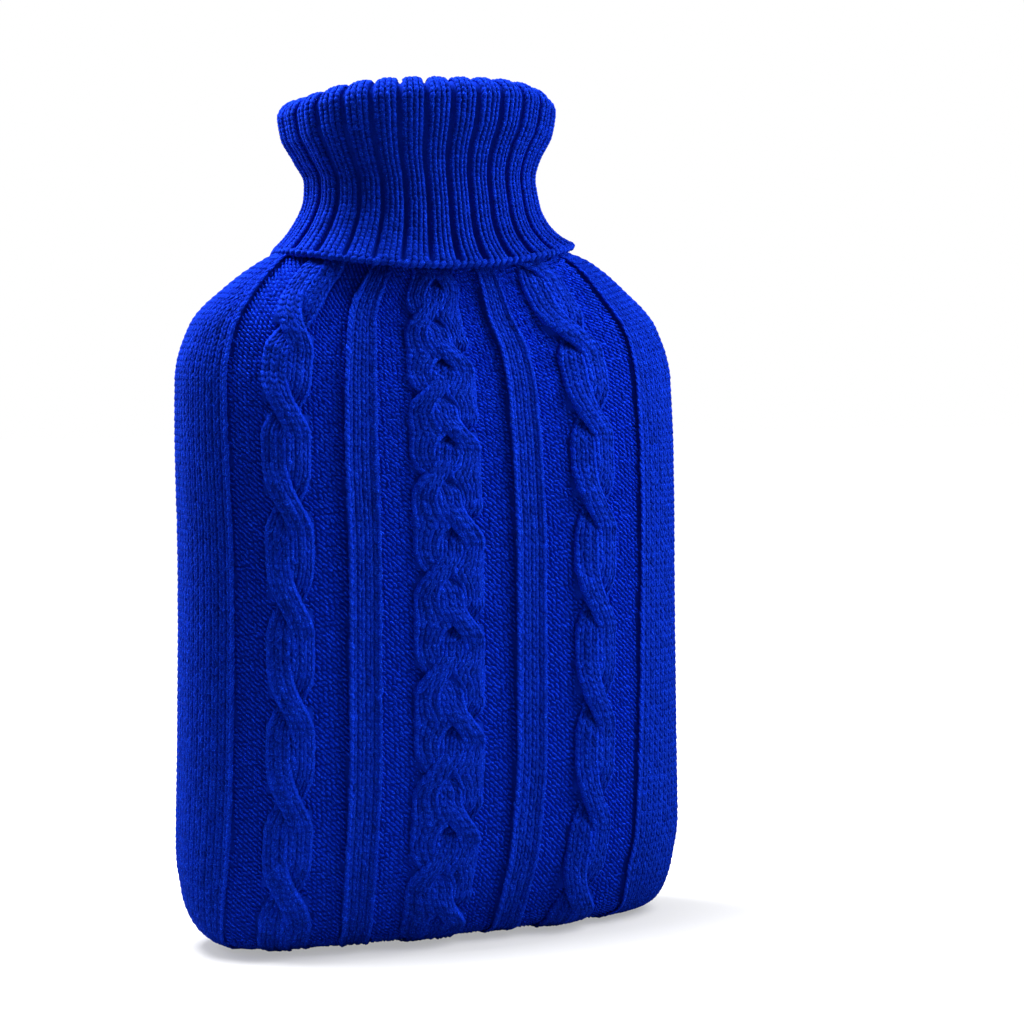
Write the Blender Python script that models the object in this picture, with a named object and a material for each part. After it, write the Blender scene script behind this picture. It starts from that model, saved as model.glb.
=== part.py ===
"""Cable-knit cover for a two-litre hot water bottle, standing as it does when the bottle fills it.

Two knitted pieces, both in metres with +Z up, the front towards -Y and the origin under the middle:
  knitted_body  a tube of 154 stitches, closed along the bottom and drawn in over the shoulders
  rib_collar    the polo neck knitted on to it, a double layer turned down over itself
Tables are in millimetres, as a knitter would measure the filled cover with a tape.
"""
import math
from collections import namedtuple

import bmesh
import bpy
import numpy as np

MM = 0.001
MEET = 0.0003              # what is left between the body's neck edge and the collar knitted on to it

# ---- Stitches ------------------------------------------------------------------------------------
CHART_STITCHES = 53        # the cable chart, the same on the front and on the back
PANEL_STITCHES = 24        # stocking stitch down each side
HALF_ROUND = CHART_STITCHES + PANEL_STITCHES
ROUND = 2 * HALF_ROUND
ROWS = 115                 # from the bottom edge to the neck edge
REPEAT = 14                # rows from one cable crossing to the next
ROPE_CROSSING = 5.0        # rows that a crossing takes, up and down from its middle
PLAIT_CROSSING = 3.5
ROPE_ROW = 41.0            # a row where both ropes cross
PLAIT_RIGHT_ROW = 38.5     # a row where the plait crosses on its right, and half a repeat on, its left

# ---- Cloth ---------------------------------------------------------------------------------------
BODY_WALL = 2.6 * MM       # two strands of yarn deep
COLLAR_WALL = 2.4 * MM
PURL_LEVEL = -1.4 * MM     # the purl ground lies lower than the side panels
RIB_LEVEL = 0.3 * MM
STRAND_LEVEL = 2.2 * MM    # crown of a cable's strand
CROSS_LIFT = 1.4 * MM      # how far the upper strand rises where it crosses, and the lower one sinks
STRAND_HALF = 1.9          # stitches, from a strand's middle to its edge
WEB_LEVEL = 0.6 * MM       # of the cloth between two strands that lie side by side

# One line for each level of the filled body, by its row of knitting. A course of stitches rides
# higher at the sides than at the front over the shoulders, so each level has two heights.
# front_share is the part of half the way round that the chart takes; the rest is a side panel, which
# bunches at the bottom corners and over the shoulders. turn is how many stitches the tube sits turned
# on the bottle. The chart's middle, between the ropes, has its own spread and turn, because the ropes
# and the ground beside them give more. slant is how many rows lower the right rope runs than the
# left, and lean how far the level stands off middle.
Level = namedtuple("Level", "row front_height side_height half_width half_depth squareness "
                            "front_share turn middle_share middle_turn slant lean")
BODY_LEVELS = (
    Level(0, 0.0, 0.0, 79.0, 11.0, 2.2, 0.80, -5.2, 0.78, -5.6, 0.0, 1.5),
    Level(2, 1.2, 1.4, 87.0, 16.0, 2.3, 0.79, -4.9, 0.76, -5.2, 1.0, 1.5),
    Level(5, 4.6, 5.0, 94.0, 24.5, 2.4, 0.765, -4.4, 0.735, -4.8, 2.4, 1.2),
    Level(9, 11.5, 12.0, 99.0, 31.0, 2.6, 0.725, -4.1, 0.69, -4.3, 3.8, 0.6),
    Level(13, 21.0, 21.5, 101.8, 35.5, 2.7, 0.695, -3.9, 0.68, -3.9, 4.2, 0.2),
    Level(20, 38.0, 38.5, 103.6, 37.8, 2.8, 0.68, -3.2, 0.685, -3.3, 3.6, 0.2),
    Level(35, 78.0, 78.5, 102.8, 38.0, 2.8, 0.685, -2.6, 0.70, -2.6, 2.4, 0.2),
    Level(62, 151.0, 151.5, 101.9, 38.0, 2.8, 0.692, -2.3, 0.702, -2.6, 1.3, 0.0),
    Level(75, 185.0, 186.5, 102.4, 37.8, 2.8, 0.696, -2.4, 0.70, -2.8, 1.1, -0.4),
    Level(86.5, 210.0, 218.0, 102.0, 36.8, 2.7, 0.703, -2.5, 0.69, -2.9, 0.6, -0.8),
    Level(95, 227.0, 239.0, 96.2, 34.6, 2.6, 0.722, -2.4, 0.688, -3.1, 0.0, -1.0),
    Level(103, 244.0, 255.0, 81.0, 31.2, 2.4, 0.752, -2.8, 0.683, -4.2, 0.0, -0.6),
    Level(108.5, 256.0, 264.4, 66.0, 28.8, 2.3, 0.782, -3.2, 0.673, -4.5, 0.0, -0.4),
    Level(112, 264.0, 268.8, 54.6, 27.2, 2.2, 0.80, -3.4, 0.675, -4.8, 0.0, -1.6),
    Level(ROWS, 272.0, 272.0, 44.0, 26.0, 2.2, 0.81, -3.6, 0.68, -5.0, 0.0, -3.8),
)

# The middle of the collar's cloth: up inside from the neck edge, then down outside from the fold.
# arch says how square the rise from the front to the sides is, 2 for a plain saddle, and slope how
# much the right end rides higher and the left end lower.
Turn = namedtuple("Turn", "front_height side_height half_width half_depth arch slope lean")
COLLAR_INSIDE = (
    Turn(272.0, 272.0, 42.8, 24.8, 2.0, 0.0, -3.8),
    Turn(284.0, 284.0, 41.0, 23.8, 2.0, 0.2, -4.4),
    Turn(298.0, 297.0, 40.4, 23.6, 2.0, 0.6, -5.4),
    Turn(314.0, 309.5, 41.4, 24.8, 3.0, 1.4, -6.6),
    Turn(325.0, 319.0, 42.8, 26.0, 4.0, 1.8, -7.0),
)
FOLD_RADIUS = 5.8 * MM     # of the cloth's middle where it turns over at the rim
COLLAR_OUTSIDE = (
    Turn(325.0, 319.0, 54.8, 37.6, 4.0, 1.8, -7.0),
    Turn(316.0, 311.0, 53.0, 36.0, 3.0, 1.6, -6.8),
    Turn(305.0, 303.0, 48.2, 31.8, 2.4, 1.0, -6.4),
    Turn(293.0, 294.5, 45.0, 29.2, 2.0, 0.6, -5.2),
    Turn(282.0, 286.0, 46.0, 29.6, 2.0, 0.2, -4.4),
    Turn(272.0, 278.4, 49.8, 31.4, 2.0, 0.0, -4.2),
    Turn(264.0, 272.8, 56.2, 33.4, 2.0, 0.0, -3.9),
    Turn(260.0, 270.4, 61.6, 34.8, 2.0, 0.0, -3.8),
)
COLLAR_SQUARENESS = 2.2
RIBS = 28                  # of two knit and two purl stitches each
RIB_CROWN = 0.5 * MM
RIB_GROOVE = -0.9 * MM
RIB_POINTS = ((0.0, RIB_GROOVE), (0.2, 0.6 * RIB_CROWN), (0.5, RIB_CROWN), (0.8, 0.6 * RIB_CROWN))
OUTSIDE_STEPS = 10
FOLD_STEPS = 4
INSIDE_STEPS = 4

# ---- Where the body's mesh has its lines ---------------------------------------------------------
ROPE_MIDDLE = 19.5         # stitches from the chart's middle
ROPE_HALF = 3.0
PLAIT_HALF = 4.5
SLANT_AT_ROPE = math.sin(2 * math.pi * ROPE_MIDDLE / ROUND)
RIB_EDGES = (8.5, 12.5)
CHART_EDGE = CHART_STITCHES / 2
MIDDLE_EDGE = ROPE_MIDDLE - ROPE_HALF
EDGE_SLOPE = 0.45          # stitches over which an edge rises
PLAIT_LINES = (0.0, 0.75, 1.5, 2.25, 3.0, 3.75, 4.5)
RIB_LINES = (8.5, 8.95, 12.05, 12.5)
ROPE_LINES = (16.5, 17.25, 18.0, 18.75, 19.5, 20.25, 21.0, 21.75, 22.5)
HALF_CHART_LINES = PLAIT_LINES + RIB_LINES + ROPE_LINES
PANEL_LINES = (0.0, 0.45, 4.0, 8.0, 12.0, 16.0, 20.0, 23.55)
FLAT_ROW = 1.2             # the cloth turns up from the ground here, still without relief
RELIEF_ROWS = 6.0          # rows over which the relief comes in at the bottom
NECK_ROWS = 8.0            # and goes at the neck, under the collar
RINGS_PER_REPEAT = 7
RINGS_BELOW, RINGS_ABOVE = 19, 35      # of the mesh, counted from the row where both ropes cross
WALL_LINES = (-26.5, -19.5, -8.5, 0.0, 8.5, 19.5, 26.5, 30.5, 34.5, 38.5, 42.5, 46.5)
WALL_ROWS = (0, 4, 9, 20, 48, 75, 86, 95, 103, 108, ROWS)      # these two lie on the inner side
ROUND_SAMPLES = 1440


def smooth_columns(keys, table, at):
    """Each column of the table, read at the keys asked for, on a curve that never overshoots a row."""
    keys = np.asarray(keys, float)
    table = np.asarray(table, float)
    gap = np.diff(keys)[:, None]
    slope = np.diff(table, axis=0) / gap
    tangent = np.zeros_like(table)
    tangent[0], tangent[-1] = slope[0], slope[-1]
    before, after = slope[:-1], slope[1:]
    weight_before = gap[:-1] + 2 * gap[1:]
    weight_after = 2 * gap[:-1] + gap[1:]
    same_way = before * after > 0
    safe_before = np.where(same_way, before, 1.0)
    safe_after = np.where(same_way, after, 1.0)
    mean = (weight_before + weight_after) / (weight_before / safe_before + weight_after / safe_after)
    tangent[1:-1] = np.where(same_way, mean, 0.0)
    at = np.asarray(at, float)
    i = np.clip(np.searchsorted(keys, at, side="right") - 1, 0, len(keys) - 2)
    width = gap[i]
    t = (at[:, None] - keys[i][:, None]) / width
    start = table[i] * (1 + 2 * t) * (1 - t) ** 2 + tangent[i] * width * t * (1 - t) ** 2
    end = table[i + 1] * t * t * (3 - 2 * t) + tangent[i + 1] * width * t * t * (t - 1)
    return start + end


def ring_shape(half_width, half_depth, squareness, places):
    """A level's outline from above at places from 0 to 1 round it, from the front by the right.

    Gives x, y and how far across it a point is, from -1 at the left end to 1 at the right.
    """
    angle = np.linspace(-math.pi / 2, 1.5 * math.pi, ROUND_SAMPLES + 1)
    reach = (abs(np.cos(angle)) ** squareness + abs(np.sin(angle)) ** squareness) ** (-1 / squareness)
    across = reach * np.cos(angle)
    x = half_width * across
    y = half_depth * reach * np.sin(angle)
    walked = np.concatenate([[0.0], np.cumsum(np.hypot(np.diff(x), np.diff(y)))])
    place = (np.asarray(places) % 1.0) * walked[-1]
    across = np.interp(place, walked, across)
    return half_width * across, np.interp(place, walked, y), across


def place_of_stitch(stitch, front_share, turn, middle_share, middle_turn):
    """Where a stitch lies round the tube, from 0 to 1; stitch 0 is the middle of the front chart."""
    side = np.mod(stitch + CHART_EDGE, ROUND)
    half_turns = np.floor(side / HALF_ROUND)
    from_middle = side - half_turns * HALF_ROUND - CHART_EDGE
    edge = HALF_ROUND * front_share / 2
    middle_edge = HALF_ROUND * middle_share * MIDDLE_EDGE / CHART_STITCHES
    marks = (-CHART_EDGE, -MIDDLE_EDGE, MIDDLE_EDGE, CHART_EDGE, HALF_ROUND - CHART_EDGE)
    lie = (turn - edge, middle_turn - middle_edge, middle_turn + middle_edge, turn + edge,
           HALF_ROUND + turn - edge)
    return (half_turns * HALF_ROUND + np.interp(from_middle, marks, lie)) / ROUND


def body_point(stitch, row):
    """A point of the filled body's smooth surface, and the level that it lies on."""
    keys = [level.row for level in BODY_LEVELS]
    table = [level[1:] for level in BODY_LEVELS]
    slant = smooth_columns(keys, table, [row])[0][-2]
    sideways = math.sin(2 * math.pi * stitch / ROUND) / SLANT_AT_ROPE
    level = min(ROWS, max(0.0, row - slant * sideways / 2))
    front, side, width, depth, square, *spread, _, lean = smooth_columns(keys, table, [level])[0]
    x, y, across = ring_shape(width, depth, square, place_of_stitch(stitch, *spread))
    return np.array([lean + x, y, front + (side - front) * across ** 2]) * MM


def body_surface(stitches, rows):
    """The smooth surface as an array of rings, one for each row of knitting asked for."""
    return np.array([[body_point(stitch, row) for stitch in stitches] for row in rows])


def outward(points):
    """Unit normals of a grid of rings that run anticlockwise seen from above, lowest ring first."""
    along = np.roll(points, -1, axis=1) - np.roll(points, 1, axis=1)
    up = np.gradient(points, axis=0)
    normal = np.cross(along, up)
    return normal / np.linalg.norm(normal, axis=2, keepdims=True)


def crossing(row, cross_row, length):
    """How far a crossing has gone, -1 below it to 1 above it, and how near its middle the row is."""
    near = (row - cross_row + REPEAT / 2) % REPEAT - REPEAT / 2
    turned = np.clip(near / length, -1, 1)
    return np.sin(turned * math.pi / 2), np.cos(turned * math.pi / 2)


def crossing_forms(swing, near, middle, hand):
    """Two strands that change places round a middle: middle, half width and level of each form.

    The strand that passes over moves to the middle's hand side going down. The web between them
    sinks out of sight where they cross.
    """
    apart = hand * ROPE_HALF / 2
    return [
        (middle - apart * swing, STRAND_HALF, STRAND_LEVEL + CROSS_LIFT * near),
        (middle + apart * swing, STRAND_HALF, STRAND_LEVEL - CROSS_LIFT * near),
        (middle, ROPE_HALF / 2, WEB_LEVEL - (WEB_LEVEL - PURL_LEVEL) * near),
    ]


def rope_forms(row):
    """The upper strand of a rope runs from top left to bottom right."""
    return crossing_forms(*crossing(row, ROPE_ROW, ROPE_CROSSING), 0.0, 1)


def plait_forms(row):
    """In the three-strand plait the middle strand always goes over and outwards as it runs down."""
    slot = 2 * PLAIT_HALF / 3
    right = crossing(row, PLAIT_RIGHT_ROW, PLAIT_CROSSING)
    left = crossing(row, PLAIT_RIGHT_ROW + REPEAT / 2, PLAIT_CROSSING)
    return crossing_forms(*right, slot / 2, 1) + crossing_forms(*left, -slot / 2, -1)


def cable_height(offset, forms):
    """Height over the smooth surface, at an offset in stitches from the cable's middle."""
    height = PURL_LEVEL
    for middle, half, level in forms:
        reach = abs(offset - middle) / half
        if reach < 1:
            height = max(height, PURL_LEVEL + (level - PURL_LEVEL) * (1 - reach ** 2))
    return height


def relief(stitch, row):
    """How far the cloth stands out at a stitch and row: panels 0, purl lower, ribs and cables up."""
    from_front = (stitch + CHART_EDGE) % HALF_ROUND - CHART_EDGE
    if from_front > CHART_EDGE:
        return 0.0
    away = abs(from_front)
    if away <= PLAIT_HALF:
        height = cable_height(from_front, plait_forms(row))
    elif abs(away - ROPE_MIDDLE) <= ROPE_HALF:
        middle = math.copysign(ROPE_MIDDLE, from_front)
        height = cable_height(from_front - middle, rope_forms(row))
    elif RIB_EDGES[0] + EDGE_SLOPE <= away + 1e-6 and away <= RIB_EDGES[1] - EDGE_SLOPE + 1e-6:
        height = RIB_LEVEL
    else:
        height = PURL_LEVEL
    return height


def standing_out(row):
    """Share of the relief left at a row: it dies away to the flat bottom and under the collar."""
    return max(0.0, min(1.0, (row - FLAT_ROW) / RELIEF_ROWS, (ROWS - row) / NECK_ROWS))


def add_ring(bm, points):
    return [bm.verts.new(point) for point in points]


def join_rings(bm, low, high, kept=None, low_height=None, high_height=None):
    """Faces between two rings. The second has a point for each kept one of the first, or for all.

    Where heights are given, each square is split along its higher diagonal, so that a strand
    crossing it keeps an unbroken ridge.
    """
    kept = list(kept or range(len(low)))
    for place, start in enumerate(kept):
        end = kept[(place + 1) % len(kept)]
        near, far = high[place], high[(place + 1) % len(high)]
        i = start
        after = (i + 1) % len(low)
        while after != end:
            bm.faces.new((low[i], low[after], near))
            i = after
            after = (i + 1) % len(low)
        if low_height is None:
            bm.faces.new((low[i], low[after], far, near))
        elif low_height[i] + high_height[after] > low_height[after] + high_height[i]:
            bm.faces.new((low[i], low[after], far))
            bm.faces.new((low[i], far, near))
        else:
            bm.faces.new((low[i], low[after], near))
            bm.faces.new((low[after], far, near))


def finish_object(bm, name, colour, roughness):
    bmesh.ops.recalc_face_normals(bm, faces=bm.faces)
    mesh = bpy.data.meshes.new(name)
    bm.to_mesh(mesh)
    bm.free()
    mesh.shade_smooth()
    item = bpy.data.objects.new(name, mesh)
    bpy.context.scene.collection.objects.link(item)
    wool = bpy.data.materials.new(name + "_wool")
    wool.use_nodes = True
    shader = wool.node_tree.nodes["Principled BSDF"]
    shader.inputs["Base Color"].default_value = colour
    shader.inputs["Roughness"].default_value = roughness
    shader.inputs["Metallic"].default_value = 0.0
    mesh.materials.append(wool)
    return item


def body_stitch_lines():
    """Stitches round the tube where the mesh has an upright line, the front's left edge first."""
    half = list(HALF_CHART_LINES)
    chart = [-place for place in reversed(half[1:])] + half
    face = [-CHART_EDGE] + chart + [CHART_EDGE + place for place in PANEL_LINES]
    return face + [place + HALF_ROUND for place in face]


def body_rows():
    """Rows of knitting where the mesh has a ring, in step with the crossings."""
    rings = range(-RINGS_BELOW, RINGS_ABOVE + 1)
    return [0.0, FLAT_ROW] + [ROPE_ROW + ring * REPEAT / RINGS_PER_REPEAT for ring in rings] + [ROWS]


def make_body():
    stitches = body_stitch_lines()
    rows = body_rows()
    smooth = body_surface(stitches, rows)
    normals = outward(smooth)
    height = np.array([[relief(s, r) * standing_out(r) for s in stitches] for r in rows])
    outer = smooth + normals * height[..., None]
    outer[0, :, 2] = 0.0
    outer[-1, :, 2] = BODY_LEVELS[-1].front_height * MM
    inside_lines = list(WALL_LINES) + [place + HALF_ROUND for place in WALL_LINES]
    kept = [stitches.index(line) for line in inside_lines]
    wall = body_surface(inside_lines, WALL_ROWS)
    inner = wall - outward(wall) * BODY_WALL
    inner[0, :, 2] = BODY_WALL
    inner[-1, :, 2] = BODY_LEVELS[-1].front_height * MM
    bm = bmesh.new()
    outside = [add_ring(bm, points) for points in outer]
    inside = [add_ring(bm, points) for points in inner]
    for i in range(len(rows) - 1):
        join_rings(bm, outside[i], outside[i + 1], None, height[i], height[i + 1])
    for low, high in zip(inside, inside[1:]):
        join_rings(bm, low, high)
    join_rings(bm, outside[-1], inside[-1], kept)
    bm.faces.new(outside[0])
    bm.faces.new(inside[0])
    return finish_object(bm, "knitted_body", (0.004, 0.018, 0.42, 1.0), 0.9)


def fold_turns():
    """The cloth's middle where it turns over: half a circle from the inner layer to the outer."""
    low, high = COLLAR_INSIDE[-1], COLLAR_OUTSIDE[0]
    turns = []
    for step in range(1, FOLD_STEPS):
        angle = math.pi * step / FOLD_STEPS
        out = (1 - math.cos(angle)) / 2
        up = FOLD_RADIUS / MM * math.sin(angle)
        width = low.half_width + (high.half_width - low.half_width) * out
        depth = low.half_depth + (high.half_depth - low.half_depth) * out
        turns.append(low._replace(front_height=low.front_height + up, side_height=low.side_height + up,
                                  half_width=width, half_depth=depth))
    return turns


def collar_path():
    """Every level of the collar's middle, from the neck edge up, over the fold and down to the hem."""
    inside = smooth_columns(range(len(COLLAR_INSIDE)), COLLAR_INSIDE,
                            np.linspace(0, len(COLLAR_INSIDE) - 1, INSIDE_STEPS + 1))
    outside = smooth_columns(range(len(COLLAR_OUTSIDE)), COLLAR_OUTSIDE,
                             np.linspace(0, len(COLLAR_OUTSIDE) - 1, OUTSIDE_STEPS + 1))
    return np.concatenate([inside, fold_turns(), outside])


def collar_ring(turn, places):
    x, y, across = ring_shape(turn.half_width, turn.half_depth, COLLAR_SQUARENESS, places)
    rise = (turn.side_height - turn.front_height) * abs(across) ** turn.arch + turn.slope * across
    return np.stack([turn.lean + x, y, turn.front_height + rise], axis=1) * MM


def rib_places():
    return [(rib + part) / RIBS for rib in range(RIBS) for part, _ in RIB_POINTS]


def make_collar():
    places = rib_places()
    path = collar_path()
    middle = np.array([collar_ring(Turn(*columns), places) for columns in path])
    normals = -outward(middle)
    ribs = np.tile([height for _, height in RIB_POINTS], RIBS)
    shown = np.ones(len(path))
    shown[:INSIDE_STEPS] = np.linspace(0.0, 0.6, INSIDE_STEPS)
    shown[-1] = 0.0
    face = middle + normals * (COLLAR_WALL / 2 + ribs[None, :, None] * shown[:, None, None])
    hidden = (middle - normals * COLLAR_WALL / 2)[::2, ::2]
    face[0, :, 2] = hidden[0, :, 2] = BODY_LEVELS[-1].front_height * MM + MEET
    bm = bmesh.new()
    shown_rings = [add_ring(bm, points) for points in face]
    hidden_rings = [add_ring(bm, points) for points in hidden]
    for low, high in zip(shown_rings, shown_rings[1:]):
        join_rings(bm, low, high)
    for low, high in zip(hidden_rings, hidden_rings[1:]):
        join_rings(bm, low, high)
    every_other = range(0, len(places), 2)
    join_rings(bm, shown_rings[0], hidden_rings[0], every_other)
    join_rings(bm, shown_rings[-1], hidden_rings[-1], every_other)
    return finish_object(bm, "rib_collar", (0.004, 0.02, 0.44, 1.0), 0.9)


def main():
    for item in list(bpy.data.objects):
        bpy.data.objects.remove(item, do_unlink=True)
    make_body()
    make_collar()


main()
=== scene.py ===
# %% [markdown]
# # A cable-knit cover for a hot water bottle
#
# The cover is a small pullover without sleeves. One tube of knitting, worked in a double knitting wool,
# is closed along the bottom, drawn in over the bottle's shoulders and finished with a long ribbed polo
# neck that is turned down over itself.
#
# Knitting is one yarn pulled into loops, so this file does what a knitter does. It first lays out the
# shape that the bottle gives the cloth, then the chart of cables, and then it puts every stitch in its
# place.

# %% Load the frame
import math
from collections import namedtuple

import bpy
import numpy as np
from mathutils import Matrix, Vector


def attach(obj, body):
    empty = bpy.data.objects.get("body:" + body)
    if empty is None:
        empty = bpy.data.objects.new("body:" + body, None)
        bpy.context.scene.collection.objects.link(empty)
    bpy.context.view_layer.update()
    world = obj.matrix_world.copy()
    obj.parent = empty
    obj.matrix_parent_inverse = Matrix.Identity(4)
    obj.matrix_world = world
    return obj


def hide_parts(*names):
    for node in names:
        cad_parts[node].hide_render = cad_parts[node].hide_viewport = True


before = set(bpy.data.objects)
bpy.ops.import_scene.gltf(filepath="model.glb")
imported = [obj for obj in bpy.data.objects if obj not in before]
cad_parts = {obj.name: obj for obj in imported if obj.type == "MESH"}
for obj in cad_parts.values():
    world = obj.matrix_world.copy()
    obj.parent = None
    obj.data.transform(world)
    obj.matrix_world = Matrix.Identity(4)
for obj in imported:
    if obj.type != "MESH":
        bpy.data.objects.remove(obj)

MM = 0.001


scene = bpy.context.scene
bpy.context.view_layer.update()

# %% [markdown]
# ## The chart
#
# The front and the back carry the same chart of 53 stitches, and a panel of plain stocking stitch
# joins them down each side. On a ground of purl lie, from the left: a rope of six stitches, a plain rib
# of four, a plait of nine, another rib and another rope. Every fourteen rows the ropes' two strands
# change places. The plait has three strands, and the middle one goes over to the right and to the left
# by turns.

# %% Count the stitches
CHART_STITCHES = 53
PANEL_STITCHES = 24
HALF_ROUND = CHART_STITCHES + PANEL_STITCHES
ROUND = 2 * HALF_ROUND
CHART_EDGE = CHART_STITCHES / 2
MIDDLE_EDGE = 16.5  # of the part between the ropes
ROWS = 115  # from the bottom edge to the neck edge
BASE_ROWS = 4.5  # on under the bottle to the closing seam
HIDDEN_ROW = 113  # from here up the collar hides the stitches
REPEAT = 14  # rows from one crossing to the next
ROPE_MIDDLE = 19.5  # stitches from the chart's middle
ROPE_HALF = 3.0  # and the width of one strand
COLUMNS_HALF = ROPE_HALF / 2
PLAIT_HALF = 4.5
RIB_EDGES = (8.5, 12.5)  # stitches from the chart's middle
ROPE_ROW = 41.0  # a row where both ropes cross
PLAIT_RIGHT_ROW = 38.5  # and one where the plait crosses in its right half
ROPE_CROSSING = (4.6, 6.2)  # rows that a crossing takes, below and above its middle
PLAIT_CROSSING = (3.3, 3.5)
print(ROUND, "stitches round and", ROWS, "rows up")

# %% [markdown]
# ## The filled shape
#
# The bottle inside rounds the tube out. Each line of the table is one level of the filled cover,
# measured: the row of knitting, its height at the front and at the sides, half its width
# and depth, how square its outline is, the chart's share of the half round and its turn, the same for
# the chart's middle, how much lower the right rope runs than the left, and how far the level stands
# off middle. Between the lines, each column runs on a curve that never overshoots.

# %% Measure the filled body
BODY_LEVELS = np.array((
    (-BASE_ROWS, 0.0, 0.0, 70.0, 0.4, 2.4, 0.80, -5.2, 0.78, -5.6, 0.0, 1.5),
    (0, 0.0, 0.0, 79.0, 14.0, 2.5, 0.80, -5.2, 0.78, -5.6, 0.0, 1.5),
    (2, 1.2, 1.4, 87.0, 19.6, 2.7, 0.79, -4.9, 0.76, -5.2, 1.0, 1.5),
    (5, 4.6, 5.0, 94.0, 27.2, 2.7, 0.765, -4.4, 0.735, -4.8, 2.4, 1.2),
    (9, 11.5, 12.0, 99.0, 32.0, 2.7, 0.725, -4.1, 0.69, -4.3, 3.8, 0.6),
    (13, 21.0, 21.5, 101.8, 35.5, 2.7, 0.695, -3.9, 0.68, -3.9, 4.2, 0.2),
    (20, 38.0, 38.5, 103.6, 37.8, 2.8, 0.68, -3.2, 0.685, -3.3, 3.6, 0.2),
    (35, 78.0, 78.5, 102.8, 38.0, 2.8, 0.685, -2.6, 0.70, -2.6, 2.4, 0.2),
    (62, 151.0, 151.5, 101.9, 38.0, 2.8, 0.692, -2.3, 0.702, -2.6, 1.3, 0.0),
    (75, 185.0, 186.5, 102.0, 37.8, 2.8, 0.696, -2.4, 0.70, -2.8, 1.1, -0.6),
    (86.5, 210.0, 218.0, 101.5, 36.8, 2.7, 0.703, -2.5, 0.69, -2.9, 0.6, -1.2),
    (95, 227.0, 238.4, 95.7, 34.6, 2.6, 0.722, -2.4, 0.694, -3.25, 0.0, -1.4),
    (103, 244.0, 254.4, 80.5, 31.2, 2.4, 0.752, -2.8, 0.700, -4.6, 0.0, -1.0),
    (108.5, 256.0, 264.4, 66.0, 28.8, 2.3, 0.782, -3.2, 0.692, -4.9, 0.0, -0.4),
    (112, 264.0, 268.8, 54.6, 27.2, 2.2, 0.80, -3.4, 0.69, -5.1, 0.0, -1.6),
    (ROWS, 272.0, 272.0, 44.0, 26.0, 2.2, 0.81, -3.6, 0.68, -5.0, 0.0, -3.8),
))
SHARES, SLANT = slice(6, 10), 10  # the table's columns that place the chart
LEVEL_STEP = 0.25  # rows between the rings that are worked out in full
PLACES = 720  # points round each ring


def smooth_columns(keys, table, at):
    """The table's columns, read at the keys asked for."""
    gap = np.diff(keys)[:, None]
    slope = np.diff(table, axis=0) / gap
    tangent = np.zeros_like(table)
    tangent[0], tangent[-1] = slope[0], slope[-1]
    before, after = slope[:-1], slope[1:]
    weights = gap[:-1] + 2 * gap[1:], 2 * gap[:-1] + gap[1:]
    same_way = before * after > 0
    before, after = np.where(same_way, before, 1.0), np.where(same_way, after, 1.0)
    mean = sum(weights) / (weights[0] / before + weights[1] / after)
    tangent[1:-1] = np.where(same_way, mean, 0.0)
    i = np.clip(np.searchsorted(keys, at, side="right") - 1, 0, len(keys) - 2)
    width = gap[i]
    t = (at[:, None] - keys[i][:, None]) / width
    start = table[i] * (1 + 2 * t) * (1 - t) ** 2 + tangent[i] * width * t * (1 - t) ** 2
    end = table[i + 1] * t * t * (3 - 2 * t) + tangent[i + 1] * width * t * t * (t - 1)
    return start + end


def ring_outline(half_width, half_depth, squareness):
    """x, y and how far across, from -1 to 1, at even steps round a level, from the front by the right."""
    angle = np.linspace(-math.pi / 2, 1.5 * math.pi, 2 * PLACES + 1)
    reach = (abs(np.cos(angle)) ** squareness + abs(np.sin(angle)) ** squareness) ** (-1 / squareness)
    outline = np.stack([half_width * reach * np.cos(angle), half_depth * reach * np.sin(angle),
                        reach * np.cos(angle)])
    walked = np.concatenate([[0.0], np.cumsum(np.hypot(*np.diff(outline[:2], axis=1)))])
    places = np.linspace(0.0, walked[-1], PLACES + 1)
    return [np.interp(places, walked, line) for line in outline]


def body_ring(level):
    _, front, side, half_width, half_depth, squareness, *_, lean = level
    x, y, across = ring_outline(half_width, half_depth, squareness)
    return np.stack([lean + x, y, front + (side - front) * across ** 2], axis=1) * MM


level_rows = np.arange(-BASE_ROWS, ROWS + LEVEL_STEP / 2, LEVEL_STEP)
levels = smooth_columns(BODY_LEVELS[:, 0], BODY_LEVELS, level_rows)
body_rings = np.array([body_ring(level) for level in levels])
print(len(body_rings), "rings; the widest is", round(np.ptp(body_rings[..., 0]) / MM, 1), "mm across")

# %% [markdown]
# A stitch and a row now give a point of the cloth. The chart takes its share of the half round and the
# panel the rest. Over the shoulders the ropes and the ground beside them give more than the chart's
# middle does, so each part is spread on its own.

# %% Find the point of a stitch
SLANT_AT_ROPE = math.sin(2 * math.pi * ROPE_MIDDLE / ROUND)
INSIDE = 0.001  # keeps a place at the very end between two rings or points


def read_rings(rings, level, place):
    """Points between the rings, at a level counted in rings and a place from 0 to 1 round them."""
    level = np.clip(level, 0, len(rings) - 1 - INSIDE)
    place = np.minimum(np.mod(place, 1.0) * PLACES, PLACES - INSIDE)
    i, j = level.astype(int), place.astype(int)
    up, on = (level - i)[..., None], (place - j)[..., None]
    low = rings[i, j] * (1 - on) + rings[i, j + 1] * on
    high = rings[i + 1, j] * (1 - on) + rings[i + 1, j + 1] * on
    return low * (1 - up) + high * up


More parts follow.
